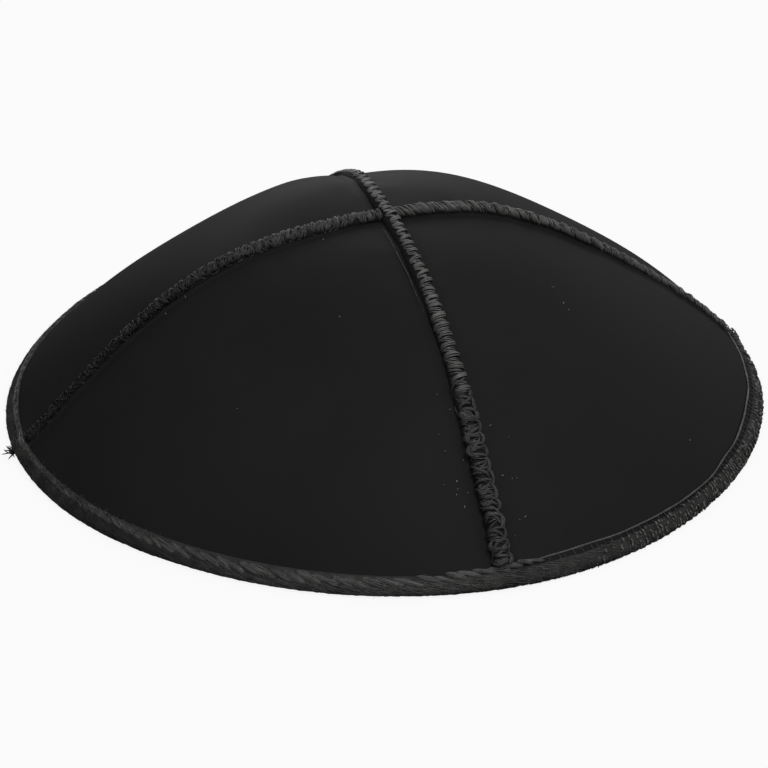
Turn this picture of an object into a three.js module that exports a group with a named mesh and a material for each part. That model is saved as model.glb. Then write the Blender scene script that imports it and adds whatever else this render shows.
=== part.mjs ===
// A skullcap sewn from four leather panels, in millimetres, +Z up.
// The origin is on the ground at the middle of the rim. The front seam points to -Y, the right seam to +X.
// Neighbouring panels meet edge to edge under a raised, overlocked seam.
// An overlocked edging wraps the rim.
import * as THREE from "three";

// Driving dimensions of the cap's outside
const EDGE_RADIUS = 81; // cut edge of the panels, at the rim
const RIM_SQUARENESS = 0.6; // the seams push the rim out by this much and the panels pull it in
const CROWN_HEIGHT = 44.2;
const EDGE_HEIGHT = 2.1; // outer face of the panels at their cut edge, above the ground

// Height of the panels' outer face a quarter, half and three quarters of the way from crown to edge.
// The rows alternate between a seam and the fullest line of the panel that follows it.
const STATIONS = [0.25, 0.5, 0.75, 1];
const SECTIONS = [
  { line: "front_seam", bearing: -91, quarter: 41.9, half: 35.1, threeQuarters: 21.5 },
  { line: "front_right", bearing: -46, quarter: 42.4, half: 33.8, threeQuarters: 20.6 },
  { line: "right_seam", bearing: -1.5, quarter: 42.9, half: 34.6, threeQuarters: 20.9 },
  { line: "back_right", bearing: 46, quarter: 44.5, half: 36.3, threeQuarters: 22.9 },
  { line: "back_seam", bearing: 90, quarter: 43.8, half: 33.9, threeQuarters: 20.9 },
  { line: "back_left", bearing: 111, quarter: 44.8, half: 36.0, threeQuarters: 20.8 },
  { line: "left_seam", bearing: 180, quarter: 42.5, half: 36.2, threeQuarters: 21.4 },
  { line: "front_left", bearing: 224.5, quarter: 42.1, half: 33.0, threeQuarters: 20.4 },
];
const bearingOf = Object.fromEntries(SECTIONS.map((row) => [row.line, row.bearing]));

// Thicknesses and clearances
const LEATHER = 1.3;
const GAP = 0.3; // between a panel and what is sewn to it
const PANEL_SPACING = 0.4; // between the cut edges of two neighbouring panels
const CROWN_BLUNT = 1.2; // radius at which the panels' points stop short of the crown

// Raised seam: two turned-up edges, whipped together, lying flatter behind the crown
const SEAM_HALF_WIDTH = 1.8;
const SEAM_RISE = 2.1;
const BACK_SEAM_FLATNESS = 0.65;
const CROWN_EASE = 12; // radius over which the seam settles to its flatter height

// Edging of the rim, measured level from the cut edge towards the crown, and square to the leather
const EDGING_INSET = 1.4;
const EDGING_OVERHANG = 0.85;
const EDGING_WRAP = 0.8; // thread on each face of the leather
const EDGING_ROUND = 0.4;

// Fineness of the faceted walls
const PANEL_ROWS = 20;
const PANEL_COLUMNS = 14;
const SEAM_STEPS = 20;
const EDGING_STEPS = 96;

// Height of one section at a share rho of the way out: level at the crown, through the row's heights
function sectionHeight(section, rho) {
  const heights = [section.quarter, section.half, section.threeQuarters, EDGE_HEIGHT];
  let z = CROWN_HEIGHT;
  STATIONS.forEach((a, i) => {
    let weight = (rho / a) ** 2;
    STATIONS.forEach((b, j) => {
      if (j !== i) weight *= (rho - b) / (a - b);
    });
    z += weight * (heights[i] - CROWN_HEIGHT);
  });
  return z;
}

// Angle from one bearing round to the next, up to a full turn
function turnFrom(first, second) {
  return THREE.MathUtils.euclideanModulo(second - first, 360);
}

// Height at any bearing: each panel eases from its two seams to its fullest line, so the seams are creases
function capHeight(rho, bearing) {
  const start = SECTIONS[0].bearing;
  const turned = turnFrom(start, bearing);
  const index = SECTIONS.findLastIndex((row) => row.bearing - start <= turned);
  const near = SECTIONS[index];
  const next = SECTIONS[(index + 1) % SECTIONS.length];
  const share = (turned - (near.bearing - start)) / turnFrom(near.bearing, next.bearing);
  const afterSeam = index % 2 === 0;
  const [seam, fullest] = afterSeam ? [near, next] : [next, near];
  const weight = Math.sin(((afterSeam ? share : 1 - share) * Math.PI) / 2);
  return THREE.MathUtils.lerp(sectionHeight(seam, rho), sectionHeight(fullest, rho), weight);
}

function edgeRadius(bearing) {
  return EDGE_RADIUS + RIM_SQUARENESS * Math.cos(4 * THREE.MathUtils.degToRad(bearing));
}

// A point over the cap at a radius and bearing, lifted square to the leather's outer face
function onCap(radius, bearing, lift) {
  const edge = edgeRadius(bearing);
  const step = 0.01;
  const inside = Math.min(radius, edge);
  const slope = (capHeight(inside / edge, bearing) - capHeight((inside - step) / edge, bearing)) / step;
  const height = capHeight(inside / edge, bearing) + slope * (radius - inside);
  const normal = new THREE.Vector2(-slope, 1).normalize();
  const angle = THREE.MathUtils.degToRad(bearing);
  const out = radius + lift * normal.x;
  return new THREE.Vector3(out * Math.cos(angle), out * Math.sin(angle), height + lift * normal.y);
}

// A closed solid through rings of points, each ring a loop with as many points going out as coming back
function loft(rings, { joined = false } = {}) {
  const size = rings[0].length;
  const positions = rings.flat().flatMap((p) => [p.x, p.y, p.z]);
  const index = [];
  const quad = (a, b, c, d) => index.push(a, b, c, a, c, d);
  const spans = joined ? rings.length : rings.length - 1;
  for (let i = 0; i < spans; i++) {
    const from = i * size;
    const to = ((i + 1) % rings.length) * size;
    for (let j = 0; j < size; j++) {
      const k = (j + 1) % size;
      quad(from + j, from + k, to + k, to + j);
    }
  }
  if (!joined) {
    const last = (rings.length - 1) * size;
    for (let j = 0; j < size / 2 - 1; j++) {
      const far = size - 1 - j;
      quad(j, far, far - 1, j + 1);
      quad(last + j, last + j + 1, last + far - 1, last + far);
    }
  }
  const geometry = new THREE.BufferGeometry();
  geometry.setAttribute("position", new THREE.Float32BufferAttribute(positions, 3));
  geometry.setIndex(index);
  geometry.computeVertexNormals();
  return geometry;
}

// One leather panel: a curved wall from the rim to the crown, between two seams
function panelGeometry(firstBearing, lastBearing) {
  const turn = turnFrom(firstBearing, lastBearing);
  const rings = [];
  for (let i = 0; i <= PANEL_ROWS; i++) {
    const outer = [];
    const inner = [];
    for (let j = 0; j <= PANEL_COLUMNS; j++) {
      const share = j / PANEL_COLUMNS;
      const edge = edgeRadius(firstBearing + turn * share);
      const radius = THREE.MathUtils.lerp(edge, CROWN_BLUNT, i / PANEL_ROWS);
      const margin = THREE.MathUtils.radToDeg(Math.asin(PANEL_SPACING / 2 / radius));
      const bearing = firstBearing + THREE.MathUtils.lerp(margin, turn - margin, share);
      outer.push(onCap(radius, bearing, 0));
      inner.unshift(onCap(radius, bearing, -LEATHER));
    }
    rings.push([...outer, ...inner]);
  }
  return loft(rings);
}

// Section of a raised seam: shares of its half width and rise, over the top between its two feet
const SEAM_SECTION = [
  { side: -0.95, foot: true },
  { side: -1, share: 0.6 },
  { side: -0.72, share: 0.92 },
  { side: -0.28, share: 1.08 },
  { side: 0.28, share: 1.08 },
  { side: 0.72, share: 0.92 },
  { side: 1, share: 0.6 },
  { side: 0.95, foot: true },
];

// Stations of one seam line from the crown outwards, as radii
function seamRadii(bearing, start) {
  const end = edgeRadius(bearing) - EDGING_INSET - 1.5 * GAP;
  return Array.from({ length: SEAM_STEPS + 1 }, (_, i) => THREE.MathUtils.lerp(start, end, i / SEAM_STEPS));
}

// One ring of a seam; turn is +1 where the seam runs outwards from the crown and -1 where it runs in
function seamRing(radius, bearing, turn, rise = SEAM_RISE) {
  const angle = THREE.MathUtils.degToRad(bearing);
  const across = new THREE.Vector3(-Math.sin(angle), Math.cos(angle), 0);
  return SEAM_SECTION.map(({ side, share, foot }) => {
    const offset = -turn * side * SEAM_HALF_WIDTH;
    if (foot) {
      const aside = THREE.MathUtils.radToDeg(Math.atan2(offset, radius));
      return onCap(Math.hypot(radius, offset), bearing + aside, GAP);
    }
    return onCap(radius, bearing, share * rise).addScaledVector(across, offset);
  });
}

function backRise(radius) {
  return SEAM_RISE * THREE.MathUtils.lerp(1, BACK_SEAM_FLATNESS, Math.min(radius / CROWN_EASE, 1));
}

// A seam that starts beside the one that crosses the crown and runs down to the edging
function sideSeamGeometry(bearing) {
  const start = SEAM_HALF_WIDTH + GAP;
  return loft(seamRadii(bearing, start).map((radius) => seamRing(radius, bearing, 1)));
}

// The long seam, in one piece from the front of the rim over the crown to the back
function crownSeamGeometry(frontBearing, backBearing) {
  const front = seamRadii(frontBearing, 0).reverse();
  const back = seamRadii(backBearing, 0).slice(1);
  return loft([
    ...front.map((radius) => seamRing(radius, frontBearing, -1)),
    ...back.map((radius) => seamRing(radius, backBearing, 1, backRise(radius))),
  ]);
}

// Section of the edging: a hook round the cut edge, open towards the crown, with a flat foot to rest on
const INNER_FACE = -LEATHER - GAP;
const EDGING_SECTION = [
  { inset: -GAP, lift: GAP },
  { inset: EDGING_INSET, lift: GAP },
  { inset: EDGING_INSET, lift: GAP + EDGING_WRAP - EDGING_ROUND },
  { inset: EDGING_INSET - EDGING_ROUND, lift: GAP + EDGING_WRAP },
  { inset: -EDGING_ROUND, lift: GAP + EDGING_WRAP },
  { inset: -EDGING_OVERHANG, lift: GAP + EDGING_ROUND },
  { inset: -EDGING_OVERHANG, lift: INNER_FACE, foot: true },
  { inset: -EDGING_ROUND, lift: INNER_FACE - EDGING_WRAP, foot: true },
  { inset: EDGING_INSET - EDGING_ROUND, lift: INNER_FACE - EDGING_WRAP },
  { inset: EDGING_INSET, lift: INNER_FACE - EDGING_WRAP + EDGING_ROUND },
  { inset: EDGING_INSET, lift: INNER_FACE },
  { inset: -GAP, lift: INNER_FACE },
];

function edgingGeometry() {
  const rings = [];
  for (let i = 0; i < EDGING_STEPS; i++) {
    const bearing = (360 * i) / EDGING_STEPS;
    rings.push(
      EDGING_SECTION.map(({ inset, lift, foot }) => {
        const point = onCap(edgeRadius(bearing) - inset, bearing, lift);
        if (foot) point.z = 0;
        return point;
      }),
    );
  }
  return loft(rings, { joined: true });
}

const leather = new THREE.MeshStandardMaterial({ color: 0x1c1c1d, roughness: 0.75, metalness: 0 });
const thread = new THREE.MeshStandardMaterial({ color: 0x33322f, roughness: 0.6, metalness: 0 });

const cap = new THREE.Group();
function add(name, geometry, material) {
  const mesh = new THREE.Mesh(geometry, material);
  mesh.name = name;
  cap.add(mesh);
}

add("panel_front_right", panelGeometry(bearingOf.front_seam, bearingOf.right_seam), leather);
add("panel_back_right", panelGeometry(bearingOf.right_seam, bearingOf.back_seam), leather);
add("panel_back_left", panelGeometry(bearingOf.back_seam, bearingOf.left_seam), leather);
add("panel_front_left", panelGeometry(bearingOf.left_seam, bearingOf.front_seam), leather);
add("seam_front_back", crownSeamGeometry(bearingOf.front_seam, bearingOf.back_seam), thread);
add("seam_right", sideSeamGeometry(bearingOf.right_seam), thread);
add("seam_left", sideSeamGeometry(bearingOf.left_seam), thread);
add("rim_edging", edgingGeometry(), thread);

export default cap;
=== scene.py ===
"""Looks of a black leather skullcap: four panels, raised overlocked seams and an overlocked rim.

Sizes are in millimetres until a mesh is made, and bearings in degrees, counted from the right of the cap by
way of its back. The cap's form repeats the one that the solids were made from.
"""

import bpy
import numpy as np
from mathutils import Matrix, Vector


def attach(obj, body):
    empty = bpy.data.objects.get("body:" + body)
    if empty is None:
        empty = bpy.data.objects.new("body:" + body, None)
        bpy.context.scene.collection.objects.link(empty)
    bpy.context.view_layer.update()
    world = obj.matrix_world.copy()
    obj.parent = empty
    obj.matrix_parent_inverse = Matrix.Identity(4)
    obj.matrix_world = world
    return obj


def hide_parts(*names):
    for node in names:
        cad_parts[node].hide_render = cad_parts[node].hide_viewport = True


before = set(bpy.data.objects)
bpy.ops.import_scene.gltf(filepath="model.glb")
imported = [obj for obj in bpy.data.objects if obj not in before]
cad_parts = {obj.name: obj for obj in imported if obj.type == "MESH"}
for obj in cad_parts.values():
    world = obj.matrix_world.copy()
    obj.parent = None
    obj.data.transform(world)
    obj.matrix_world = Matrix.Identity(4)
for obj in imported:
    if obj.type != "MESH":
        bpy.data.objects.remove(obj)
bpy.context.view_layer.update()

MM = 0.001
BODY = "root"

# Form of the cap, as in the solids
EDGE_RADIUS = 81.0
RIM_SQUARENESS = 0.6
CROWN_HEIGHT = 44.2
EDGE_HEIGHT = 2.1
STATIONS = (0.25, 0.5, 0.75, 1.0)
SECTIONS = np.array(
    [
        # bearing, and height at a quarter, half and three quarters of the way out
        (-91.0, 41.9, 35.1, 21.5),  # front seam
        (-46.0, 42.4, 33.8, 20.6),  # front right panel
        (-1.5, 42.9, 34.6, 20.9),  # right seam
        (46.0, 44.5, 36.3, 22.9),  # back right panel
        (90.0, 43.8, 33.9, 20.9),  # back seam
        (111.0, 44.8, 36.0, 20.8),  # back left panel
        (180.0, 42.5, 36.2, 21.4),  # left seam
        (224.5, 42.1, 33.0, 20.4),  # front left panel
    ]
)
FRONT, RIGHT, BACK, LEFT = SECTIONS[::2, 0]

# Leather panels
LEATHER = 1.3
PANEL_SPACING = 0.4
CROWN_BLUNT = 1.2
PANEL_ROWS = 84
PANEL_COLUMNS = 96
SEAM_CROWDING = 0.07  # draws the columns together towards the seams
TURN_UP = 0.5  # lift of the leather against a seam
TURN_UP_WIDTH = 1.1
GROOVE = 0.12  # dip of the leather beside the turn-up
GROOVE_PLACE = 2.3
GROOVE_WIDTH = 0.7
PUCKER = 0.1
PUCKER_SPACING = 4.5
PUCKER_REACH = 6.0
HIDE_WAVE = 0.14
HIDE_WAVE_X = 9.0
HIDE_WAVE_Y = 11.0

# Raised seams
CORE_HALF_WIDTH = 1.35
CORE_RISE = 1.75
CORE_STEP = 0.8
SECTION_POWER = 0.72
FILAMENT_RADIUS = 0.16
FILAMENT_SPACING = 0.24
STITCH_GAP = 0.26
SEAM_START = 1.0
SEAM_END = EDGE_RADIUS - 1.4
BACK_SEAM_FLATNESS = 0.65
CROWN_EASE = 12.0
# The turned edge is a thin ridge with a painted highlight: a colour lighter than the leather
FOLD_SPAN = (58.0, 88.0)  # distance along the front seam over which its turned edge shows as a line
FOLD_OFFSET = 0.55

# Loose strands of the seams
YARN_PLIES = 5
YARN_TWIST = 3.4  # distance along a yarn for one turn of its plies
PLY_OFFSET = 0.62  # of the yarn's radius, from its middle to a ply's
PLY_RADIUS = 0.46  # of the yarn's radius
PUFF_RADIUS = (0.34, 0.54)
PUFF_LENGTH = (2.2, 4.2)
COVER_COUNT = 4
COVER_RADIUS = (0.3, 0.48)
FINE_COVER_RADIUS = (0.12, 0.2)
TANGLE_START = 3.0
TANGLE_PER_MM = 9
TANGLE_RADIUS = (0.06, 0.11)

# Overlocked rim: distance up the slope from the cut edge, and lift off the leather, from the outer face
# round to the inner one
HOOK = np.array(
    [
        (2.3, 0.05),
        (2.0, 0.4),
        (1.1, 0.55),
        (0.1, 0.55),
        (-1.1, 0.3),
        (-1.75, -0.4),
        (-1.6, -1.3),
        (-0.6, -2.0),
        (0.5, -1.95),
        (2.0, -1.5),
    ]
)
RIM_LENGTH = 600.0  # a little more than once round the rim, for values that wander along it
RIM_SLOPE_SHARE = 0.71  # level share of a step up the slope at the rim
LOWEST_STRAND = 0.22  # height of the lowest strand's middle above the floor
HOOK_POINTS = 40  # along the hook, where fibres start and end
WRAP_POINTS = 24  # the same for the wraps
RIM_CORE_POINTS = 26
RIM_CORE_STEPS = 720
SEAM_LIFT = 0.7  # extra lift of the rim where a seam runs under it
SEAM_LIFT_WIDTH = 2.0  # in degrees

# Tight thread along the top of the edging: its plies, and its distance up the slope by bearing
LINE_PLIES = 3
LINE_RADIUS = 0.15
LINE_TWIST = 2.6
LINE_BEARING = (0, 45, 90, 180, 215, 245, 258, 266, 272, 290, 307, 320, 335, 360)
LINE_UP = (3.2, 2.6, 2.2, 1.8, 1.4, 1.2, 1.5, 2.3, 3.1, 2.9, 1.8, 2.7, 3.3, 3.2)

# Rope of thread along the edging, with its fatness by bearing: 0 is a thin tight line
ROPE_SPAN = (25.0, 274.0)
LOBE_SPACING = 0.12
LOBE_RADIUS = 0.09
ROPE_BEARING = (0, 90, 150, 202, 220, 255, 266, 274, 282, 360)
ROPE_FATNESS = (0, 0.2, 0.2, 0.2, 1, 1, 0.6, 0.2, 0, 0)

# Soft roll of fibres, with the share of the edging that it covers by bearing: 0 is all tight stitches
ROLL_TRIES = 7100
ROLL_SPAN = (60, 302)
ROLL_RADIUS = (0.04, 0.07)
ROLL_BEARING = (0, 90, 150, 168, 258, 272, 288, 302, 360)
ROLL_SHARE = (0, 0.4, 0.55, 1, 1, 0.6, 0.3, 0, 0)

# Tight stitches of the edging
OVERLOCK_PITCH = 1.9
WRAP_TRIES = 2600
WRAP_RADIUS = (0.08, 0.14)
BAR_RADIUS = (0.06, 0.1)
KNOT_ROWS = (1.2, 0.4, -0.5, -1.3)  # distance up the slope of each row of knots
KNOT_RADIUS = (0.12, 0.21)

# Fuzz, fluff, the frayed end of the thread, and lint
FUZZ_HAIRS = 2400
FUZZ_LENGTH = (0.2, 0.55)
FUZZ_RADIUS = (0.025, 0.04)
SEAM_FUZZ_PER_MM = 3.2
SEAM_FUZZ_LENGTH = (0.2, 0.6)
SEAM_FUZZ_RADIUS = (0.02, 0.04)
FLUFF_TRIES = 2600
FLUFF_SPAN = (165, 262)
FLUFF_LENGTH = (0.4, 1.0)
FLUFF_RADIUS = (0.04, 0.065)
TAIL_BEARING = 179.5
TAIL_STRANDS = 18
TAIL_LENGTH = (1.0, 1.8)
TAIL_RADIUS = 0.2
LINT_RADIUS = (0.06, 0.12)
SEAM_LINT = 16  # specks beside the lower front seam
# Radius and bearing of the specks that lie by themselves
LINT = (
    (41.5, -43.5),
    (43.0, -44.5),
    (38.0, -40.5),
    (33.0, -124.5),
    (58.0, -86.5),
    (55.5, -141.0),
    (63.0, -93.5),
    (73.0, -47.5),
    (49.5, -176.5),
    (45.0, -177.0),
    (15.5, -165.5),
    (60.5, -83.5),
)

# Threads: name of the material, darkest and lightest colour, shine, and the fade if there is one.
# A fade is painted shade: two places across the cap and the share of the colour that is left at the second,
# darker towards the left where less light falls.
THREADS = {
    "seam": ("black_thread", (0.014, 0.014, 0.0137), (0.085, 0.084, 0.081), 0.9, None),
    # the left seam's thread darkens towards the rim at the left: painted shade
    "left": ("black_thread_painted_shade_left", (0.015, 0.015, 0.0145), (0.085, 0.084, 0.082), 0.5, (-22, -46, 0.1)),
    "slack": ("black_thread_slack", (0.01, 0.01, 0.0095), (0.036, 0.0355, 0.0345), 0.6, None),
    "worn": ("black_thread_worn", (0.02, 0.02, 0.0195), (0.08, 0.079, 0.077), 0.75, None),
    "wraps": ("black_wraps", (0.02, 0.02, 0.0195), (0.05, 0.05, 0.0488), 0.5, None),
    # the roll darkens towards the left: painted shade
    "roll": ("black_roll_painted_shade_left", (0.045, 0.045, 0.0435), (0.095, 0.095, 0.092), 0.4, (-45, -68, 0.35)),
    "edging": ("black_edging", (0.026, 0.026, 0.0255), (0.042, 0.042, 0.041), 0.1, None),
    # lighter than the thread as a painted sheen, and darker towards the left as painted shade
    "fluff": ("black_fluff_painted_sheen_and_shade", (0.07, 0.07, 0.068), (0.17, 0.168, 0.162), 0.4, (-62, -84, 0.5)),
    "lint": ("pale_lint", (0.08, 0.08, 0.08), (0.36, 0.36, 0.366), 0.3, None),
}
THREAD_ROUGHNESS = 0.36
LEATHER_DARK = (0.0095, 0.0095, 0.0098)
LEATHER_LIGHT = (0.0121, 0.0121, 0.0123)
LEATHER_ROUGHNESS = (0.52, 0.66)
LEATHER_SHINE = 0.1
FLOOR_GREY = 0.1

# Spots to the metre in each pattern
LEATHER_MOTTLE = 38.0
LEATHER_PORES = 1500.0
LEATHER_GRAIN = 4200.0
THREAD_MOTTLE = 420.0
THREAD_FIBRES = 7000.0

# Camera, at the photograph's viewing angle
CAMERA_AZIMUTH = -18.0
CAMERA_ELEVATION = 29.03
CAMERA_DISTANCE = 800.0
CAMERA_LENS = 171.47
AIM_RIGHT = -0.24
AIM_UP = 3.39

# Floor and light, in metres and watts: each light has its name, place, target, size across and power
FLOOR_SIZE = 4.0
FLOOR_GLOW = 0.89
LIGHTS = (
    ("back_glow", (0.22, 1.2, 0.42), (0, 0, 0.03), 0.8, 2.1),
    ("left_sheen", (-0.86, 0.16, 0.8), (0, 0, 0.02), 0.55, 1.5),
    ("overhead", (0.14, -0.54, 1.1), (0, 0, 0), 0.5, 3.4),
)
WORLD_LIGHT = 0.56
WORLD_DIM = 0.03
BACKDROP = 0.97
DIM_SIDE = (-0.8, 0.6, 0.0)
DIM_SPAN = (0.25, 0.75)  # cosines to the dim side between which the light falls

rng = np.random.default_rng(7)


# Surface of the cap


def section_heights(rho):
    """Heights of the eight sections at shares rho of the way out, one row per section."""
    rows = np.column_stack([SECTIONS[:, 1:], np.full(len(SECTIONS), EDGE_HEIGHT)]) - CROWN_HEIGHT
    heights = np.full((len(SECTIONS),) + rho.shape, CROWN_HEIGHT)
    for i, a in enumerate(STATIONS):
        weight = (rho / a) ** 2
        for j, b in enumerate(STATIONS):
            if j != i:
                weight = weight * (rho - b) / (a - b)
        heights += rows[:, i].reshape((-1,) + (1,) * rho.ndim) * weight
    return heights


def cap_height(rho, bearing):
    """Height of the outer face: each panel eases from its two seams to its fullest line."""
    starts = SECTIONS[:, 0] - SECTIONS[0, 0]
    spans = np.diff(np.append(starts, 360.0))
    turned = np.mod(bearing - SECTIONS[0, 0], 360.0)
    index = np.searchsorted(starts, turned, side="right") - 1
    share = (turned - starts[index]) / spans[index]
    after_seam = index % 2 == 0
    following = (index + 1) % len(SECTIONS)
    seam = np.where(after_seam, index, following)
    fullest = np.where(after_seam, following, index)
    weight = np.sin(np.where(after_seam, share, 1 - share) * np.pi / 2)
    heights = section_heights(rho)
    at_seam = np.take_along_axis(heights, seam[None], 0)[0]
    at_fullest = np.take_along_axis(heights, fullest[None], 0)[0]
    return at_seam * (1 - weight) + at_fullest * weight


def edge_radius(bearing):
    """Plan radius of the leather's cut edge, drawn out a little at the seams."""
    return EDGE_RADIUS + RIM_SQUARENESS * np.cos(4 * np.radians(bearing))


def on_cap(radius, bearing, lift):
    """Points over the cap at radii and bearings, lifted square to the leather's outer face."""
    radius, bearing, lift = np.broadcast_arrays(
        np.asarray(radius, float), np.asarray(bearing, float), np.asarray(lift, float)
    )
    edge = edge_radius(bearing)
    step = 0.01
    inside = np.minimum(radius, edge)
    height = cap_height(inside / edge, bearing)
    slope = (height - cap_height((inside - step) / edge, bearing)) / step
    length = np.hypot(slope, 1.0)
    out = radius - lift * slope / length
    angle = np.radians(bearing)
    z = height + slope * (radius - inside) + lift / length
    return np.stack([out * np.cos(angle), out * np.sin(angle), z], -1)


# Mesh making


class Batch:
    """Vertices and faces of one piece, gathered part by part."""

    def __init__(self):
        self.points = []
        self.faces = []
        self.count = 0

    def add(self, points, *tables):
        """Takes points, and tables of triangles or quads that count from the first of them."""
        self.points.append(points)
        for faces in tables:
            self.faces.extend((faces + self.count).tolist())
        self.count += len(points)

    def piece(self, name, material, slot, nodes=()):
        """Makes the Blender object, which rides on the body and stands for the nodes."""
        points = np.concatenate(self.points) * MM
        mesh = bpy.data.meshes.new(name)
        mesh.from_pydata(points.tolist(), [], self.faces)
        mesh.validate()
        mesh.materials.append(material)
        mesh.shade_smooth()
        piece = bpy.data.objects.new(name, mesh)
        bpy.context.scene.collection.objects.link(piece)
        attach(piece, BODY)
        if nodes:
            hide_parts(*nodes)


def grid_faces(rows, columns, wrap_rows=False, wrap_columns=False):
    """Quads of a grid whose points are stored row by row."""
    i = np.arange(rows if wrap_rows else rows - 1)
    j = np.arange(columns if wrap_columns else columns - 1)
    i, j = np.meshgrid(i, j, indexing="ij")
    below, right = (i + 1) % rows, (j + 1) % columns
    quads = [i * columns + j, i * columns + right, below * columns + right, below * columns + j]
    return np.stack(quads, -1).reshape(-1, 4)


def distance_along(points):
    """Distance along a path to each of its points."""
    steps = np.linalg.norm(np.diff(points, axis=0), axis=1)
    return np.concatenate([[0], np.cumsum(steps)])


def frames_along(points):
    """Two unit vectors square to a path at each of its points, carried along without twist."""
    tangent = np.gradient(points, axis=0)
    tangent /= np.linalg.norm(tangent, axis=1, keepdims=True) + 1e-12
    first = np.empty_like(points)
    seed = np.eye(3)[np.argmin(np.abs(tangent[0]))]
    for k, along in enumerate(tangent):
        seed = seed - along * (seed @ along)
        seed = seed / np.linalg.norm(seed)
        first[k] = seed
    return first, np.cross(tangent, first)


def fan(ring, apex):
    """Triangles from each side of a ring of point numbers to one apex."""
    return np.stack([ring, np.roll(ring, -1), np.full(len(ring), apex)], -1)


def add_rod(batch, rings):
    """A closed rod through rings of points, facing outwards whichever way round the rings go."""
    count, size = rings.shape[:2]
    middles = rings[[0, -1]].mean(1)
    spokes = rings[0] - middles[0]
    turned = np.cross(spokes, np.roll(spokes, -1, axis=0)).sum(0)
    if turned @ (rings[1].mean(0) - middles[0]) < 0:
        rings = rings[:, ::-1]
    ring = np.arange(size)
    batch.add(
        np.concatenate([rings.reshape(-1, 3), middles]),
        grid_faces(count, size, wrap_columns=True),
        fan(ring[::-1], count * size),
        fan(ring + (count - 1) * size, count * size + 1),
    )


def add_tube(batch, points, radius, sides=5):
    """A round strand along a path, with blunt, narrowed ends."""
    radius = np.array(np.broadcast_to(radius, len(points)), float)
    radius[[0, -1]] *= 0.3
    first, second = frames_along(points)
    turn = np.linspace(0, 2 * np.pi, sides, endpoint=False)
    ring = np.cos(turn)[None, :, None] * first[:, None] + np.sin(turn)[None, :, None] * second[:, None]
    add_rod(batch, points[:, None] + ring * radius[:, None, None])


def add_yarn(batch, points, radius, plies, sides):
    """A strand of several plies twisted together, or of one."""
    if plies == 1:
        add_tube(batch, points, radius, sides)
        return
    distance = distance_along(points)
    first, second = frames_along(points)
    start = rng.uniform(0, 2 * np.pi)
    for ply in range(plies):
        turn = (start + 2 * np.pi * (ply / plies + distance / YARN_TWIST))[:, None]
        off = (np.cos(turn) * first + np.sin(turn) * second) * (PLY_OFFSET * radius)[:, None]
        add_tube(batch, points + off, PLY_RADIUS * radius, sides)


def smooth_noise(length, spacing, amount):
    """A seeded wandering value, as a function of distance: random knots every spacing, joined smoothly."""
    knots = np.arange(-spacing, length + 3 * spacing, spacing)
    values = rng.normal(0, amount, len(knots))

    def value(s):
        place = (np.asarray(s) - knots[0]) / spacing
        index = np.clip(np.floor(place).astype(int), 0, len(knots) - 2)
        share = np.clip(place - index, 0, 1)
        share = share * share * (3 - 2 * share)
        return values[index] * (1 - share) + values[index + 1] * share

    return value


# Leather panels


def panel_relief(radius, bearing, seams, waves):
    """Small lifts of one panel: turn-up and puckers beside each seam, and the hide's own unevenness."""
    relief = np.zeros_like(radius)
    fade = np.clip((radius - 4) / 12, 0, 1)
    for seam_bearing, wave in zip(seams, waves):
        away = radius * np.abs(np.sin(np.radians(bearing - seam_bearing)))
        relief += TURN_UP * np.exp(-((away / TURN_UP_WIDTH) ** 2)) * fade
        relief -= GROOVE * np.exp(-(((away - GROOVE_PLACE) / GROOVE_WIDTH) ** 2)) * fade
        relief += wave(radius) * np.exp(-np.maximum(away - 2, 0) / PUCKER_REACH) * fade
    x = radius * np.cos(np.radians(bearing))
    y = radius * np.sin(np.radians(bearing))
    hide = np.sin(x / HIDE_WAVE_X + seams[0]) * np.sin(y / HIDE_WAVE_Y + 0.7 * seams[0])
    return relief + HIDE_WAVE * hide


def make_panel(name, node, first, last, material):
    """One leather panel between the seams at two bearings, as a closed wall."""
    turn = np.mod(last - first, 360.0)
    rows = np.linspace(0, 1, PANEL_ROWS)[:, None]
    share = np.linspace(0, 1, PANEL_COLUMNS)[None, :]
    share = share - SEAM_CROWDING * np.sin(2 * np.pi * share)
    edge = edge_radius(first + turn * share)
    radius = CROWN_BLUNT + (edge - CROWN_BLUNT) * rows
    margin = np.degrees(np.arcsin(PANEL_SPACING / 2 / radius))
    bearing = first + margin + (turn - 2 * margin) * share
    waves = [smooth_noise(EDGE_RADIUS, PUCKER_SPACING, PUCKER) for _ in range(2)]
    relief = panel_relief(radius, bearing, (first, first + turn), waves)
    outer = on_cap(radius, bearing, relief)
    inner = on_cap(radius, bearing, relief - LEATHER)
    loops = np.concatenate([outer, inner[:, ::-1]], axis=1)
    size = loops.shape[1]
    j = np.arange(PANEL_COLUMNS - 1)
    end = np.stack([j, j + 1, size - 2 - j, size - 1 - j], -1)
    walls = grid_faces(PANEL_ROWS, size, wrap_columns=True)[:, ::-1]
    batch = Batch()
    batch.add(loops.reshape(-1, 3), walls, end, (end + (PANEL_ROWS - 1) * size)[:, ::-1])
    batch.piece(name, material, "leather", [node])


# Seams


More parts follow.
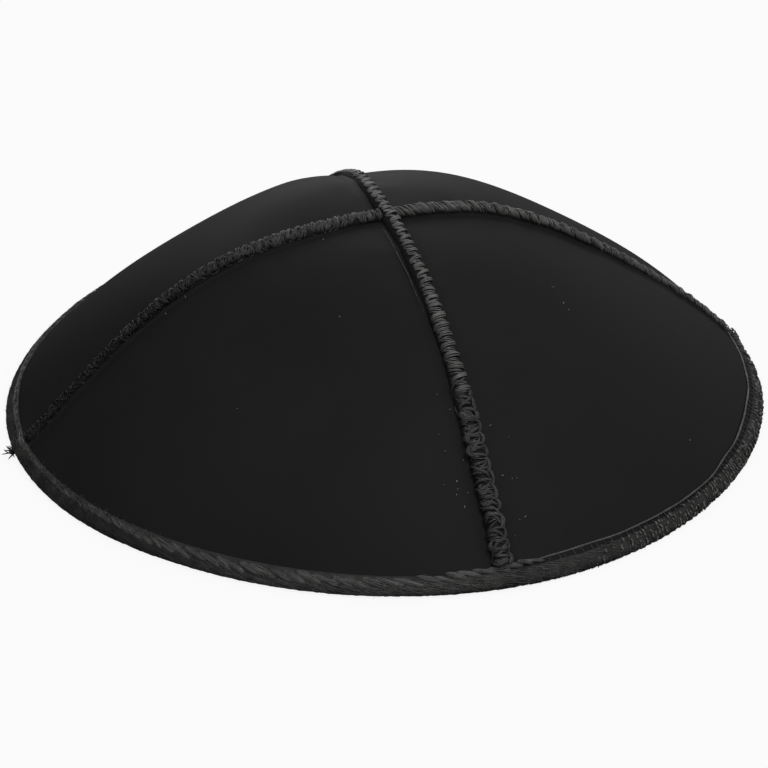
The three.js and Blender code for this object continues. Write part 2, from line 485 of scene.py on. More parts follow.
class SeamLine:
    """The line of a seam over the cap, by distance along it."""

    def __init__(self, start, end, bearings, side, back_flatness=1.0):
        plan = np.linspace(start, end, 900)
        bearing = np.where(plan < 0, bearings[0], bearings[1])
        self.base = on_cap(np.abs(plan), bearing, 0.0)
        self.normal = on_cap(np.abs(plan), bearing, 1.0) - self.base
        self.side = np.array(side, float)
        self.distance = distance_along(self.base)
        self.length = self.distance[-1]
        self.flatness = np.interp(plan, [0.0, CROWN_EASE], [1.0, back_flatness])

    def _read(self, table, s):
        """A table's points at distances along the line."""
        return np.stack([np.interp(s, self.distance, table[:, k]) for k in range(3)], -1)

    def at(self, s, side, lift):
        """Points at distances along the line, to one side of it and lifted off the leather."""
        s, side, lift = np.broadcast_arrays(np.asarray(s, float), side, lift)
        base = self._read(self.base, s)
        normal = self._read(self.normal, s)
        lift = lift * np.interp(s, self.distance, self.flatness)
        return base + self.side * side[..., None] + normal * lift[..., None]


def steady(value):
    """A value that is the same all along a seam."""
    return lambda s: value


def eased(s_from, s_to, at_from, at_to):
    """A value that changes evenly between two distances along a seam."""
    return lambda s: np.interp(s, [s_from, s_to], [at_from, at_to])


def across(bearing):
    """Level direction square to a bearing."""
    angle = np.radians(bearing)
    return np.array([-np.sin(angle), np.cos(angle), 0.0])


# Styles of the seams. By distance along the seam: size of its rib, lean to one side, width and skew of its
# thick and thin stitches, their spacing and slack, and degrees that they reach down each side of the rib.
# Then plumpness of a stitch, thickness of its filaments, and where braid ends and where stitches end.
FRONT_BACK_STYLE = {
    "size": eased(28, 50, 1.25, 1.0),
    "lean": eased(28, 60, 0.06, 0.28),
    "thick": steady(1.35),
    "thin": steady(0.5),
    "thick_skew": steady(0.5),
    "thin_skew": steady(-1.4),
    "spacing": steady(1.08),
    "slack": eased(38, 75, 0.5, 0.12),
    "left": eased(45, 85, 80, 36),
    "right": steady(84),
    "plump": 0.55,
    "strand": 1.2,
    "braid_to": 37.0,
    "stitched_to": 200.0,
}
RIGHT_STYLE = {
    "size": eased(20, 74, 0.86, 0.54),
    "lean": steady(0.12),
    "thick": eased(4, 10, 1.0, 1.7),
    "thin": steady(0.6),
    "thick_skew": eased(4, 30, -3.4, -1.8),
    "thin_skew": eased(4, 30, -2.8, -1.2),
    "spacing": steady(0.98),
    "slack": steady(0.2),
    "left": steady(86),
    "right": steady(82),
    "plump": 0.5,
    "strand": 0.8,
    "braid_to": 0.0,
    "stitched_to": 200.0,
}
LEFT_STYLE = {
    "size": eased(30, 60, 0.92, 0.74),
    "lean": steady(0.12),
    "thick": eased(8, 45, 1.2, 0.8),
    "thin": eased(8, 45, 0.6, 0.4),
    "thick_skew": steady(-1.6),
    "thin_skew": steady(1.2),
    "spacing": eased(20, 60, 0.72, 1.0),
    "slack": eased(0, 30, 0.6, 0.4),
    "left": steady(86),
    "right": steady(84),
    "plump": 0.35,
    "strand": 0.7,
    "braid_to": 0.0,
    "stitched_to": 62.0,
}


def rib_section(theta, half_width, rise):
    """Offset and lift of a rounded rib's surface at an angle from its top."""
    side = half_width * np.sign(np.sin(theta)) * np.abs(np.sin(theta)) ** SECTION_POWER
    lift = rise * np.abs(np.cos(theta)) ** SECTION_POWER
    return side, lift


def make_seam_core(name, node, line, style, material):
    """The two turned-up leather edges that the thread holds together."""
    steps = int(line.length / CORE_STEP)
    s = np.linspace(0, line.length, steps)[:, None]
    theta = np.radians(np.linspace(-90, 90, 17))[None, :]
    wander = smooth_noise(line.length, 9.0, 0.12)
    size = style["size"](s)
    side, lift = rib_section(theta, CORE_HALF_WIDTH * size, CORE_RISE * size)
    side = side + style["lean"](s) * lift + wander(s)
    batch = Batch()
    add_rod(batch, line.at(s, side, lift - 0.1))
    batch.piece(name, material, "leather", [node])


def add_stitch(batch, line, style, middle, width, skew):
    """One stitch: filaments side by side over the rib, plump between ends that are drawn together."""
    slack = float(style["slack"](middle))
    left = style["left"](middle) + rng.normal(0, 5)
    right = style["right"](middle) + rng.normal(0, 5)
    size = float(style["size"](middle))
    aside = rng.normal(0, 0.2) * slack
    plump = style["plump"] * min(1.0, 0.4 + 0.5 * width) * rng.uniform(0.85, 1.15 + 0.7 * slack)
    x = np.linspace(0, 1, 10)
    theta = np.radians(np.clip(-left + (left + right) * x, -90, 90))
    gathered = 1 - 0.45 * (2 * x - 1) ** 4
    count = max(2, int(round(width / (FILAMENT_SPACING * style["strand"]))))
    for place in np.linspace(-1, 1, count):
        wobble = np.interp(x, np.linspace(0, 1, 4), rng.normal(0, 0.05 + 0.12 * slack, 4))
        along = middle + skew * (x - 0.5) + 0.5 * width * place * gathered + wobble
        rise = plump * np.sqrt(1.02 - place**2) * np.sin(np.pi * np.clip(x, 0.08, 0.92))
        rise = rise + np.interp(x, np.linspace(0, 1, 5), rng.normal(0, 0.04 + 0.06 * slack, 5))
        side, lift = rib_section(theta, CORE_HALF_WIDTH * size + rise, CORE_RISE * size + rise)
        side = side + style["lean"](middle) * lift + aside
        path = line.at(np.clip(along, 0, line.length), side, np.maximum(lift, 0.05))
        add_tube(batch, path, FILAMENT_RADIUS * style["strand"] * rng.uniform(0.85, 1.2), sides=6)


def add_crossing(batch, line, style, along, degrees, radius, slack, plies=1, sides=4):
    """One loose strand over the rib, along given distances and angles from its top."""
    x = np.linspace(0, 1, len(along))
    size = style["size"](along)
    off = 0.08 + slack * np.sin(np.pi * x) + np.interp(x, np.linspace(0, 1, 5), rng.normal(0, 0.05, 5))
    side, lift = rib_section(np.radians(degrees), CORE_HALF_WIDTH * size + off, CORE_RISE * size + off)
    side = side + style["lean"](along) * lift
    path = line.at(np.clip(along, 0, line.length), side, np.maximum(lift, 0.1))
    add_yarn(batch, path, radius, plies, sides)


def add_puff(batch, line, style, start, length, bulge):
    """A fat loop of slack thread that swells out to one side of the rib."""
    x = np.linspace(0, 1, 12)
    taper = 0.3 + 0.7 * np.sin(np.pi * x) ** 0.8
    tilt = rng.normal(0, 12)
    for _ in range(3):
        along = start + length * x + rng.normal(0, 0.15)
        swell = bulge * (0.4 + 0.6 * np.sin(np.pi * x) ** 0.6)
        degrees = swell + rng.normal(0, 9) * taper + tilt * (x - 0.5)
        radius = rng.uniform(*PUFF_RADIUS) * taper
        add_crossing(batch, line, style, along, degrees, radius, rng.uniform(0.1, 0.35), YARN_PLIES)


def add_cover(batch, line, style, start, length, radii, plies):
    """Slack strands that cross from the right of the rib down its left side, each at its own slant."""
    x = np.linspace(0, 1, 12)
    taper = 0.5 + 0.5 * np.sin(np.pi * x)
    for _ in range(COVER_COUNT):
        slant = rng.normal(0.1, 0.5) * length
        bow = rng.normal(0, 0.3) * length * np.sin(np.pi * x)
        along = start + length * rng.uniform(0, 1) + slant * (x - 0.5) + bow
        degrees = np.linspace(rng.uniform(0, 75), rng.uniform(-100, -65), len(x))
        radius = rng.uniform(*radii) * taper
        add_crossing(batch, line, style, along, degrees, radius, rng.uniform(0.0, 0.25), plies)


def make_seam_braid(name, node, line, style, material):
    """The slack lower end of a seam: puffs of thread on the right, with strands across between them."""
    batch = Batch()
    start = 0.2
    while start < style["braid_to"]:
        length = rng.uniform(*PUFF_LENGTH)
        add_cover(batch, line, style, start, length, COVER_RADIUS, YARN_PLIES)
        add_cover(batch, line, style, start, length, FINE_COVER_RADIUS, plies=1)
        puff = length * rng.uniform(0.75, 1.05)
        add_puff(batch, line, style, start + 0.1, puff, rng.uniform(50, 80))
        if rng.uniform() < 0.15:
            puff = length * rng.uniform(0.5, 0.8)
            add_puff(batch, line, style, start + 0.8, puff, rng.uniform(-70, -30))
        start += 0.9 * length
    batch.piece(name, material, "thread", [node])


def make_fold_highlight(name, node, line, style, material):
    """A thin ridge along the left foot of a seam's upper part, where the turned leather's edge is: a real
    edge, given a thread colour lighter than the leather as a painted highlight.
    """
    batch = Batch()
    s = np.arange(*FOLD_SPAN, 0.7)
    drift = smooth_noise(line.length, 5.0, 0.1)
    side = -CORE_HALF_WIDTH * style["size"](s) - FOLD_OFFSET + drift(s)
    taper = np.sin(np.pi * np.linspace(0, 1, len(s))) ** 0.5
    swell = smooth_noise(line.length, 1.6, 0.06)
    add_tube(batch, line.at(s, side, 0.1 + 0 * s), 0.04 + (0.14 + swell(s)) * taper, sides=6)
    batch.piece(name, material, "leather", [node])


def make_seam_tangle(name, node, line, style, material):
    """Fine worn strands that lie every way over a seam, closest together towards the rim."""
    batch = Batch()
    x = np.linspace(0, 1, 8)
    covered = line.length - TANGLE_START
    for _ in range(int(TANGLE_PER_MM * covered)):
        middle = TANGLE_START + covered * rng.uniform() ** 0.8
        along = middle + rng.normal(0, 1.3) * (x - 0.5) + rng.normal(0, 0.4) * np.sin(np.pi * x)
        first = rng.uniform(-85, 85)
        degrees = np.clip(first + rng.choice((-1, 1)) * rng.uniform(40, 110) * x, -92, 92)
        radius = rng.uniform(*TANGLE_RADIUS)
        add_crossing(batch, line, style, along, degrees, radius, rng.uniform(0.0, 0.3))
    batch.piece(name, material, "thread", [node])


def make_seam_thread(name, node, line, style, material):
    """Overlock thread over one seam: thick and thin stitches in turn."""
    batch = Batch()
    middle = 0.5 + style["braid_to"]
    thick = True
    while middle < min(style["stitched_to"], line.length - 0.3):
        kind = "thick" if thick else "thin"
        width = style[kind](middle) * rng.uniform(0.8, 1.2)
        skew = style[kind + "_skew"](middle) + rng.normal(0, 0.22 + 1.3 * style["slack"](middle))
        add_stitch(batch, line, style, middle, width, skew)
        thick = not thick
        following = style["thick" if thick else "thin"](middle)
        middle += 0.5 * (width + following) * style["spacing"](middle) + STITCH_GAP
    batch.piece(name, material, "thread", [node])


# Rim


def rope_weight(bearing):
    """1 where the edge of the overlock is a fat twisted rope, 0 where it is a thin tight line."""
    return np.interp(np.mod(bearing, 360.0), ROPE_BEARING, ROPE_FATNESS)


def line_up(bearing):
    """Place of the tight thread up the slope, with the corners of its table rounded off."""
    turns = np.linspace(-7, 7, 9)
    places = [np.interp(np.mod(bearing + turn, 360.0), LINE_BEARING, LINE_UP) for turn in turns]
    return sum(places) / len(places)


def roll_share(bearing):
    """1 where fibres cover the whole edging as a soft roll, 0 where its tight stitches show."""
    return np.interp(np.mod(bearing, 360.0), ROLL_BEARING, ROLL_SHARE)


def seam_bump(bearing):
    """Extra lift of the rim where a seam runs under it."""
    off = np.abs(np.mod(bearing + 45, 90) - 45)
    return SEAM_LIFT * np.exp(-((off / SEAM_LIFT_WIDTH) ** 2))


def rim_point(bearing, up, lift):
    """Points round the rim: a distance up the slope from the cut edge, and a lift off the leather."""
    up = np.where(np.asarray(up) < 0, up * (1 - 0.25 * rope_weight(bearing)), up)
    points = on_cap(edge_radius(bearing) - RIM_SLOPE_SHARE * up, bearing, lift)
    points[..., 2] = np.maximum(points[..., 2], LOWEST_STRAND)
    return points


def hook_curve(count):
    """The hook of thread round the cut edge, as evenly spaced distances up the slope and lifts."""
    curve = HOOK
    for _ in range(3):
        cut = np.empty((2 * len(curve) - 2, 2))
        cut[0::2] = 0.75 * curve[:-1] + 0.25 * curve[1:]
        cut[1::2] = 0.25 * curve[:-1] + 0.75 * curve[1:]
        curve = np.concatenate([curve[:1], cut, curve[-1:]])
    along = distance_along(curve)
    place = np.linspace(0, along[-1], count)
    return np.stack([np.interp(place, along, curve[:, k]) for k in range(2)], -1)


def outer_share(lift):
    """1 on the outer face of the hook and 0 on its inner face."""
    return np.clip((lift + 0.4) / 0.6, 0, 1)


def make_rim_core(name, node, material):
    """The leather's cut edge under its wrapping, as one closed roll."""
    bearing = np.linspace(0, 360, RIM_CORE_STEPS, endpoint=False)[:, None]
    hook = hook_curve(RIM_CORE_POINTS)
    up, lift = hook[:, 0][None], hook[:, 1][None]
    wander = smooth_noise(RIM_LENGTH, 2.2, 0.07)
    bared = np.clip(up, 0, None) * outer_share(lift) * 0.55 * (1 - roll_share(bearing))
    lift = lift + outer_share(lift) * (seam_bump(bearing) + wander(bearing * 1.41))
    points = rim_point(bearing + 0 * up, up - bared, lift)
    faces = grid_faces(RIM_CORE_STEPS, len(hook), wrap_rows=True, wrap_columns=True)[:, ::-1]
    batch = Batch()
    batch.add(points.reshape(-1, 3), faces)
    batch.piece(name, material, "thread", [node])


def make_rim_line(name, node, material):
    """The tight thread along the upper edge of the overlock, of a few plies."""
    step = 0.4
    arc = np.arange(0, 2 * np.pi * EDGE_RADIUS + step, step)
    bearing = np.degrees(arc / EDGE_RADIUS)
    drift = smooth_noise(RIM_LENGTH, 8.0, 0.16)
    swell = smooth_noise(RIM_LENGTH, 2.4, 0.03)
    batch = Batch()
    for ply in range(LINE_PLIES):
        turn = arc * 2 * np.pi / LINE_TWIST + ply * 2 * np.pi / LINE_PLIES
        up = line_up(bearing) + drift(arc) + 0.1 * np.cos(turn)
        lift = 0.2 - 0.3 * roll_share(bearing) + 0.1 * np.sin(turn) + seam_bump(bearing)
        add_tube(batch, rim_point(bearing, up, lift), LINE_RADIUS + swell(arc), sides=5)
    batch.piece(name, material, "thread", [node])


def add_rim_lobe(batch, bearing, length, width, fatness):
    """One slanted lobe of the rope: filaments along the rim that start high and end low."""
    x = np.linspace(0, 1, 10)
    centre = line_up(bearing) - 0.15 - 0.25 * fatness + rng.normal(0, 0.08 + 0.1 * fatness)
    drop = 0.6 + 0.8 * fatness
    plump = (0.3 + 0.35 * fatness) * rng.uniform(0.85, 1.15)
    gathered = 1 - 0.75 * np.abs(2 * x - 1) ** 3
    count = int(width / LOBE_SPACING)
    for place in np.linspace(-1, 1, count):
        arc = length * (x - 0.5) + rng.normal(0, 0.1)
        wobble = np.interp(x, np.linspace(0, 1, 5), rng.normal(0, 0.05, 5))
        up = centre + drop * (0.5 - x) + 0.5 * width * place * gathered + wobble
        bearings = bearing + np.degrees(arc / EDGE_RADIUS)
        lift = 0.35 + plump * np.sqrt(1.02 - place**2) * np.sin(np.pi * np.clip(x, 0.05, 0.95)) ** 0.6
        add_tube(batch, rim_point(bearings, up, lift + seam_bump(bearings)), LOBE_RADIUS, sides=4)


def make_rim_rope(name, node, material):
    """Lobes of thread along the top of the edging, fat at the front left and dying out on the right."""
    batch = Batch()
    bearing, end = ROPE_SPAN
    while bearing < end:
        fatness = float(rope_weight(bearing))
        length = (3.6 + 1.8 * fatness) * rng.uniform(0.7, 1.3)
        width = (0.6 + 0.7 * fatness) * rng.uniform(0.7, 1.2)
        add_rim_lobe(batch, bearing, length, width, fatness)
        bearing += np.degrees(0.58 * length / EDGE_RADIUS)
    batch.piece(name, material, "thread", [node])


def add_wrap(batch, path, bearing, reach, slack, radius, sides):
    """One fine thread over the edging, along part of the hook and some way round the rim."""
    share = np.linspace(0, 1, len(path))
    bearings = bearing + np.degrees(reach / EDGE_RADIUS) * share
    loose = slack * np.sin(np.pi * share)
    lift = path[:, 1] + (0.05 + loose) * np.sign(path[:, 1] + 0.4)
    lift = lift + seam_bump(bearings) * outer_share(path[:, 1])
    up = path[:, 0] - loose + rng.normal(0, 0.03, len(path))
    add_tube(batch, rim_point(bearings, up, lift), radius, sides)


def make_rim_wraps(name, node, material):
    """Threads square over the edge in bunches, one bunch to each tight stitch."""
    hook = hook_curve(WRAP_POINTS)
    pitch = np.degrees(OVERLOCK_PITCH / EDGE_RADIUS)
    batch = Batch()
    for _ in range(WRAP_TRIES):
        stitch = pitch * np.round(rng.uniform(0, 360) / pitch)
        if rng.uniform() < roll_share(stitch):
            continue
        start = rng.integers(6, 9)
        path = hook[start : start + rng.integers(7, 11)]
        bearing = stitch + np.degrees(rng.normal(0, 0.25) / EDGE_RADIUS)
        radius = rng.uniform(*WRAP_RADIUS)
        add_wrap(batch, path, bearing, rng.normal(0.2, 0.3), rng.uniform(0.0, 0.14), radius, sides=4)
    batch.piece(name, material, "thread", [node])


def make_rim_roll(name, node, material):
    """Fine fibres lying along the edge below the rope, as a soft roll."""
    hook = hook_curve(HOOK_POINTS)
    batch = Batch()
    for _ in range(ROLL_TRIES):
        bearing = rng.uniform(*ROLL_SPAN)
        if rng.uniform() > roll_share(bearing):
            continue
        start = rng.integers(2, 22)
        path = hook[start : start + rng.integers(4, 8)]
        radius = rng.uniform(*ROLL_RADIUS)
        add_wrap(batch, path, bearing, rng.normal(3.0, 1.3), rng.uniform(0.02, 0.16), radius, sides=3)
    batch.piece(name, material, "thread", [node])


def make_rim_bars(name, node, material):
    """Thin threads from the tight line across the bare band to the knots, one at each stitch."""
    count = int(2 * np.pi * EDGE_RADIUS / OVERLOCK_PITCH)
    x = np.linspace(0, 1, 6)
    batch = Batch()
    for i in range(count):
        bearing = 360.0 * (i + rng.normal(0, 0.12)) / count
        if roll_share(bearing) > 0.7:
            continue
        up = line_up(bearing) * (1 - x) + 0.4 * x
        bearings = bearing + np.degrees(rng.normal(0.3, 0.35) * x / EDGE_RADIUS)
        lift = 0.12 + 0.5 * x**2 + seam_bump(bearings)
        add_tube(batch, rim_point(bearings, up, lift), rng.uniform(*BAR_RADIUS), sides=4)
    batch.piece(name, material, "thread", [node])


def make_rim_knots(name, node, material):
    """Small knots in rows along the edging, where the overlock's threads lock. Their light colour is a
    painted glint.
    """
    count = int(2 * np.pi * EDGE_RADIUS / OVERLOCK_PITCH)
    x = np.linspace(0, 1, 7)
    batch = Batch()
    for row in KNOT_ROWS:
        for i in range(2 * count):
            bearing = 180.0 * (i + rng.normal(0, 0.12)) / count
            if rng.uniform() < 0.4 + 1.2 * roll_share(bearing):
                continue
            reach = rng.uniform(0.2, 0.44)
            up = row + rng.normal(0, 0.12) + reach * np.cos(np.pi * x)
            lift = np.interp(up, HOOK[5:0:-1, 0], HOOK[5:0:-1, 1]) + 0.1 + 0.24 * np.sin(np.pi * x)
            bearings = bearing + np.degrees(rng.normal(0, 0.3) * (x - 0.5) / EDGE_RADIUS)
            path = rim_point(bearings, up, lift + seam_bump(bearing))
            add_tube(batch, path, rng.uniform(*KNOT_RADIUS), sides=5)
    batch.piece(name, material, "thread", [node])


# Fuzz and lint


def add_hair(batch, root, direction, length, radius):
    """One fine stray fibre that curls as it leaves the thread."""
    share = np.linspace(0, 1, 4)[:, None]
    curl = rng.normal(0, 0.45, 3) * length
    reach = direction / np.linalg.norm(direction) * length
    path = root + reach * share + curl * share**2
    path[:, 2] = np.maximum(path[:, 2], 0.05)
    add_tube(batch, path, radius * np.linspace(1, 0.4, 4), sides=3)


def make_rim_fuzz(name, material):
    """Short stray fibres all over the outer side of the edging."""
    hook = hook_curve(HOOK_POINTS)
    batch = Batch()
    for _ in range(FUZZ_HAIRS):
        bearing = rng.uniform(0, 360)
        k = rng.integers(0, 24)
        root = rim_point(np.array(bearing), hook[k, 0], hook[k, 1])
        out = rim_point(np.array(bearing), hook[k, 0], hook[k, 1] + 0.5) - root
        outward = np.array([np.cos(np.radians(bearing)), np.sin(np.radians(bearing)), 0.0])
        direction = out * 1.2 + outward * (0.8 if k > 12 else 0.1) + rng.normal(0, 0.5, 3)
        add_hair(batch, root, direction, rng.uniform(*FUZZ_LENGTH), rng.uniform(*FUZZ_RADIUS))
    batch.piece(name, material, "thread")


def make_rim_fluff(name, material):
    """Longer fibres that stand off the upper edge of the soft roll, most of them up the slope. Their light
    grey colour is a painted sheen.
    """
    hook = hook_curve(HOOK_POINTS)
    batch = Batch()
    for _ in range(FLUFF_TRIES):
        bearing = np.array(rng.uniform(*FLUFF_SPAN))
        if rng.uniform() < rope_weight(bearing):
            continue
        up, lift = hook[rng.integers(1, 9)]
        lift = lift + 0.45 * rope_weight(bearing)
        root = rim_point(bearing, up, lift)
        off = rim_point(bearing, up, lift + 1.0) - root
        inwards = rim_point(bearing, up + 1.0, lift) - root
        direction = 0.7 * off + 0.7 * inwards + rng.normal(0, 0.7, 3)
        add_hair(batch, root, direction, rng.uniform(*FLUFF_LENGTH), rng.uniform(*FLUFF_RADIUS))
    batch.piece(name, material, "thread")


def make_seam_fuzz(name, lines, material):
    """Short stray fibres along the seams, given as pairs of line and style."""
    batch = Batch()
    for line, style in lines:
        for _ in range(int(line.length * SEAM_FUZZ_PER_MM)):
            s = rng.uniform(0, line.length)
            lean = style["lean"](s)
            size = style["size"](s)
            theta = np.radians(rng.uniform(-80, 85))
            side, lift = rib_section(theta, CORE_HALF_WIDTH * size + 0.2, CORE_RISE * size + 0.2)
            root = line.at(s, side + lean * lift, lift)
            tip_side, tip_lift = rib_section(theta, CORE_HALF_WIDTH * size + 1.2, CORE_RISE * size + 1.2)
            direction = line.at(s, tip_side + lean * lift, tip_lift) - root + rng.normal(0, 0.7, 3)
            length = rng.uniform(*SEAM_FUZZ_LENGTH)
            add_hair(batch, root, direction, length, rng.uniform(*SEAM_FUZZ_RADIUS))
    batch.piece(name, material, "thread")


def make_thread_tail(name, material):
    """The loose end of the overlock thread, a short frayed tuft at the left of the rim."""
    batch = Batch()
    start = rim_point(np.array(TAIL_BEARING), -1.2, -0.3)
    share = np.linspace(0, 1, 8)[:, None]
    for _ in range(TAIL_STRANDS):
        direction = np.array([-1.0, -0.25, 0.3]) + rng.normal(0, 0.3, 3)
        curl = rng.normal(0, 0.8, 3)
        root = start + rng.normal(0, 0.3, 3)
        path = root + direction * share * rng.uniform(*TAIL_LENGTH) + curl * share**2
        path[:, 2] = np.maximum(path[:, 2], 0.2)
        add_tube(batch, path, TAIL_RADIUS * np.linspace(1, 0.5, 8), sides=5)
    batch.piece(name, material, "thread")


def make_lint(name, line, material):
    """Specks of lint on the leather: a few by themselves, more beside the lower front seam."""
    batch = Batch()
    spots = list(LINT)
    for _ in range(SEAM_LINT):
        place = line.at(rng.uniform(3, 40), rng.choice((-1, 1)) * rng.uniform(2.5, 9), 0.0)
        spots.append((np.hypot(place[0], place[1]), np.degrees(np.arctan2(place[1], place[0]))))
    x = np.linspace(-0.5, 0.5, 5)[:, None]
    for radius, bearing in spots:
        root = on_cap(radius, bearing, 0.1)
        path = root + rng.normal(0, 0.3, 3) * x + rng.normal(0, 0.3, 3) * x**2
        add_tube(batch, path, rng.uniform(*LINT_RADIUS), sides=5)
    batch.piece(name, material, "thread")


# Materials


def new_material(name):
    """A material with one shader, and the place on the object that its patterns are read at."""
    material = bpy.data.materials.new(name)
    material.use_nodes = True
    tree = material.node_tree
    tree.nodes.clear()
    output = tree.nodes.new("ShaderNodeOutputMaterial")
    shader = tree.nodes.new("ShaderNodeBsdfPrincipled")
    tree.links.new(shader.outputs["BSDF"], output.inputs["Surface"])
    coords = tree.nodes.new("ShaderNodeTexCoord")
    return material, tree, shader, coords.outputs["Object"]


def noise(tree, vector, per_metre, detail=3.0, roughness=0.5):
    """Soft random value over the surface, with a number of spots to the metre."""
    node = tree.nodes.new("ShaderNodeTexNoise")
    node.inputs["Scale"].default_value = per_metre
    node.inputs["Detail"].default_value = detail
    node.inputs["Roughness"].default_value = roughness
    tree.links.new(vector, node.inputs["Vector"])
    return node.outputs["Fac"]


def ramp(tree, value, stops):
    """Colour by value, through stops of value and colour."""
    node = tree.nodes.new("ShaderNodeValToRGB")
    elements = node.color_ramp.elements
    while len(elements) < len(stops):
        elements.new(0.5)
    for element, (place, colour) in zip(elements, stops):
        element.position = place
        element.color = (*colour, 1.0)
    tree.links.new(value, node.inputs["Fac"])
    return node.outputs["Color"]


def span(tree, value, low, high, source=(0.0, 1.0)):
    """A value from 0 to 1, or over another source range, spread from low to high."""
    node = tree.nodes.new("ShaderNodeMapRange")
    node.inputs["From Min"].default_value, node.inputs["From Max"].default_value = source
    node.inputs["To Min"].default_value = low
    node.inputs["To Max"].default_value = high
    tree.links.new(value, node.inputs["Value"])
    return node.outputs["Result"]


def bump(tree, height, strength, depth, below=None):
    """Fine relief from a height, over another relief if there is one."""
    node = tree.nodes.new("ShaderNodeBump")
    node.inputs["Strength"].default_value = strength
    node.inputs["Distance"].default_value = depth
    tree.links.new(height, node.inputs["Height"])
    if below is not None:
        tree.links.new(below, node.inputs["Normal"])
    return node.outputs["Normal"]


def leather_material():
    """Matt black leather, slightly mottled, with pores and a finer grain."""
    material, tree, shader, place = new_material("black_leather")
    mottle = noise(tree, place, LEATHER_MOTTLE, 5.0, 0.6)
    colour = ramp(tree, mottle, [(0.3, LEATHER_DARK), (0.7, LEATHER_LIGHT)])
    tree.links.new(colour, shader.inputs["Base Color"])
    tree.links.new(span(tree, mottle, *LEATHER_ROUGHNESS), shader.inputs["Roughness"])
    shader.inputs["Specular IOR Level"].default_value = LEATHER_SHINE
    pores = tree.nodes.new("ShaderNodeTexVoronoi")
    pores.feature = "SMOOTH_F1"
    pores.inputs["Scale"].default_value = LEATHER_PORES
    tree.links.new(place, pores.inputs["Vector"])
    fine = noise(tree, place, LEATHER_GRAIN, 2.0)
    normal = bump(tree, pores.outputs["Distance"], 0.06, 0.0002)
    normal = bump(tree, fine, 0.06, 0.0001, normal)
    tree.links.new(normal, shader.inputs["Normal"])
    return material


def painted_shade(tree, colour, place, start, end, least):
    """Painted shade: a colour that falls to a least share of itself from one place across the cap to
    another.
    """
    split = tree.nodes.new("ShaderNodeSeparateXYZ")
    tree.links.new(place, split.inputs["Vector"])
    share = span(tree, split.outputs["X"], 1.0, least, (start * MM, end * MM))
    product = tree.nodes.new("ShaderNodeVectorMath")
    product.operation = "SCALE"
    tree.links.new(colour, product.inputs["Vector"])
    tree.links.new(share, product.inputs["Scale"])
    return product.outputs["Vector"]


def thread_material(name, dark, light, shine, fade):
    """Thread of fine fibres, mottled from dark to light, and darkened by painted shade where a fade is
    given.
    """
    material, tree, shader, place = new_material(name)
    mottle = noise(tree, place, THREAD_MOTTLE, 4.0, 0.6)
    colour = ramp(tree, mottle, [(0.3, dark), (0.7, light)])
    # painted shade: the colour darkens towards the left of the cap
    if fade:
        colour = painted_shade(tree, colour, place, *fade)
    tree.links.new(colour, shader.inputs["Base Color"])
    shader.inputs["Roughness"].default_value = THREAD_ROUGHNESS
    shader.inputs["Specular IOR Level"].default_value = shine
    fibres = noise(tree, place, THREAD_FIBRES, 2.0)
    tree.links.new(bump(tree, fibres, 0.35, 0.00012), shader.inputs["Normal"])
    return material


def floor_material():
    """A pale floor that the camera sees brighter than the light it throws back on the cap."""
    material, tree, shader, _ = new_material("pale_floor")
    shader.inputs["Base Color"].default_value = (FLOOR_GREY, FLOOR_GREY, FLOOR_GREY, 1.0)
    shader.inputs["Roughness"].default_value = 0.9
    shader.inputs["Specular IOR Level"].default_value = 0.0
    shader.inputs["Emission Color"].default_value = (1.0, 1.0, 1.0, 1.0)
    path = tree.nodes.new("ShaderNodeLightPath")
    glow = span(tree, path.outputs["Is Camera Ray"], 0.0, FLOOR_GLOW)
    tree.links.new(glow, shader.inputs["Emission Strength"])
    return material


# Stage


def make_camera():
    """The camera, aimed a little off the middle of the rim to frame the cap as the photograph does."""
    azimuth, elevation = np.radians([CAMERA_AZIMUTH, CAMERA_ELEVATION])
    back = Vector(
        (np.sin(azimuth) * np.cos(elevation), -np.cos(azimuth) * np.cos(elevation), np.sin(elevation))
    )
    right = Vector((np.cos(azimuth), np.sin(azimuth), 0.0))
    up = back.cross(right)
    data = bpy.data.cameras.new("camera")
    data.lens = CAMERA_LENS
    data.sensor_width = 36.0
    data.clip_start = 0.01
    data.clip_end = 50.0
    camera = bpy.data.objects.new("camera", data)
    bpy.context.scene.collection.objects.link(camera)
    camera.location = back * CAMERA_DISTANCE * MM
    target = (right * AIM_RIGHT + up * AIM_UP) * MM
    camera.rotation_euler = (target - camera.location).to_track_quat("-Z", "Y").to_euler()
    bpy.context.scene.camera = camera


def make_floor():
    """A plain floor under the rim."""
    size = FLOOR_SIZE
    mesh = bpy.data.meshes.new("floor")
    corners = [(-size, -size, 0), (size, -size, 0), (size, size, 0), (-size, size, 0)]
    mesh.from_pydata(corners, [], [(0, 1, 2, 3)])
    mesh.materials.append(floor_material())
    floor = bpy.data.objects.new("floor", mesh)
    bpy.context.scene.collection.objects.link(floor)


def make_light(name, place, target, size, watts):
    """A round soft light, aimed at a target."""
    data = bpy.data.lights.new(name, "AREA")
    data.shape = "DISK"
    data.size = size
    data.energy = watts
    light = bpy.data.objects.new(name, data)
    bpy.context.scene.collection.objects.link(light)
    light.location = place
    light.rotation_euler = (Vector(target) - Vector(place)).to_track_quat("-Z", "Y").to_euler()


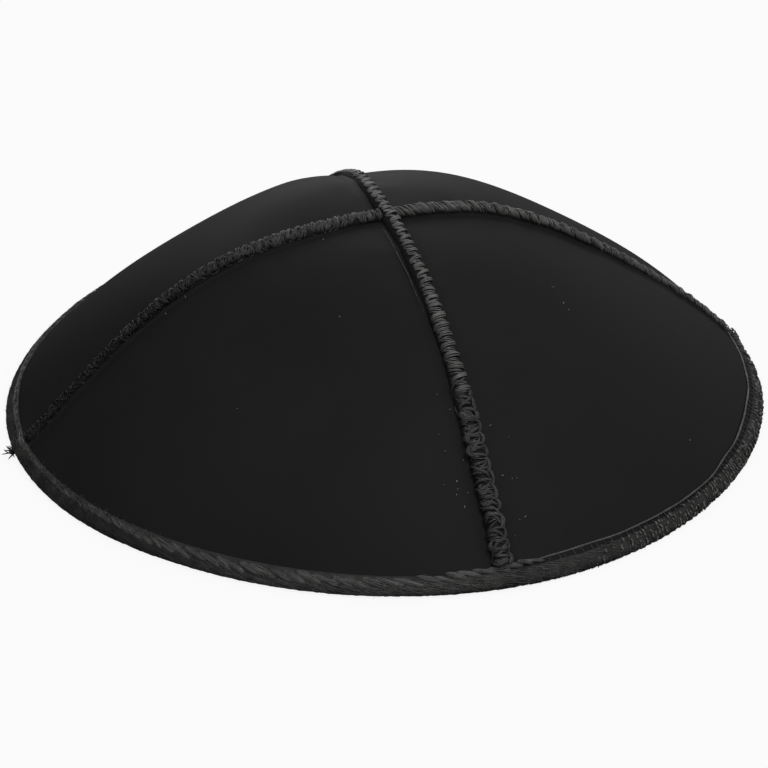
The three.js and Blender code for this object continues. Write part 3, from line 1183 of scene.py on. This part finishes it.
def make_world():
    """Even light that falls off at the back left; the camera sees a pale backdrop."""
    world = bpy.data.worlds.new("studio")
    world.use_nodes = True
    tree = world.node_tree
    background = tree.nodes["Background"]
    background.inputs["Color"].default_value = (1.0, 1.0, 1.0, 1.0)
    coords = tree.nodes.new("ShaderNodeTexCoord")
    towards = tree.nodes.new("ShaderNodeVectorMath")
    towards.operation = "DOT_PRODUCT"
    towards.inputs[1].default_value = DIM_SIDE
    tree.links.new(coords.outputs["Generated"], towards.inputs[0])
    lighting = span(tree, towards.outputs["Value"], WORLD_LIGHT, WORLD_DIM, DIM_SPAN)
    lighting.node.interpolation_type = "SMOOTHSTEP"
    path = tree.nodes.new("ShaderNodeLightPath")
    level = span(tree, path.outputs["Is Camera Ray"], 0.0, BACKDROP)
    tree.links.new(lighting, level.node.inputs["To Min"])
    tree.links.new(level, background.inputs["Strength"])
    bpy.context.scene.world = world


def make_stage():
    """Camera, floor and light."""
    make_camera()
    make_floor()
    make_world()
    for light in LIGHTS:
        make_light(*light)
    bpy.context.scene.view_settings.view_transform = "Standard"


# Assembly

leather = leather_material()
threads = {use: thread_material(*look) for use, look in THREADS.items()}

panels = (
    ("front_right", FRONT, RIGHT),
    ("back_right", RIGHT, BACK),
    ("back_left", BACK, LEFT),
    ("front_left", LEFT, FRONT),
)
for label, first, last in panels:
    make_panel("leather_" + label, "panel_" + label, first, last, leather)

front_back = SeamLine(-SEAM_END, SEAM_END, (FRONT, BACK), -across(BACK), BACK_SEAM_FLATNESS)
right = SeamLine(SEAM_START, SEAM_END, (RIGHT, RIGHT), across(RIGHT))
left = SeamLine(SEAM_START, SEAM_END, (LEFT, LEFT), -across(LEFT))
seams = (
    ("front_back", front_back, FRONT_BACK_STYLE, threads["seam"]),
    ("right", right, RIGHT_STYLE, threads["seam"]),
    # the left seam's thread carries painted shade towards the rim
    ("left", left, LEFT_STYLE, threads["left"]),
)
for label, line, style, material in seams:
    make_seam_core("seam_edges_" + label, "seam_" + label, line, style, leather)
    make_seam_thread("seam_thread_" + label, "seam_" + label, line, style, material)
make_seam_tangle("seam_tangle_left", "seam_left", left, LEFT_STYLE, threads["left"])
# the fold is a real ridge in a lighter thread colour than the leather: painted highlight
make_fold_highlight("seam_fold_highlight_front", "seam_front_back", front_back, FRONT_BACK_STYLE, threads["slack"])
make_seam_braid("seam_braid_front", "seam_front_back", front_back, FRONT_BACK_STYLE, threads["slack"])

make_rim_core("rim_core", "rim_edging", threads["edging"])
make_rim_line("rim_line", "rim_edging", threads["worn"])
make_rim_rope("rim_rope", "rim_edging", threads["seam"])
make_rim_wraps("rim_wraps", "rim_edging", threads["wraps"])
# the roll's colour darkens towards the left, painted shade
make_rim_roll("rim_roll", "rim_edging", threads["roll"])
make_rim_bars("rim_bars", "rim_edging", threads["wraps"])
# the knots take the light fluff colour: painted glints on real knots
make_rim_knots("rim_knots", "rim_edging", threads["fluff"])

make_rim_fuzz("rim_fuzz", threads["wraps"])
# the fluff's light grey is a painted sheen along the roll, with painted shade towards the left
make_rim_fluff("rim_fluff", threads["fluff"])
make_seam_fuzz("seam_fuzz", [(line, style) for _, line, style, _ in seams], threads["wraps"])
make_thread_tail("thread_tail", threads["slack"])
make_lint("lint", front_back, threads["lint"])

make_stage()
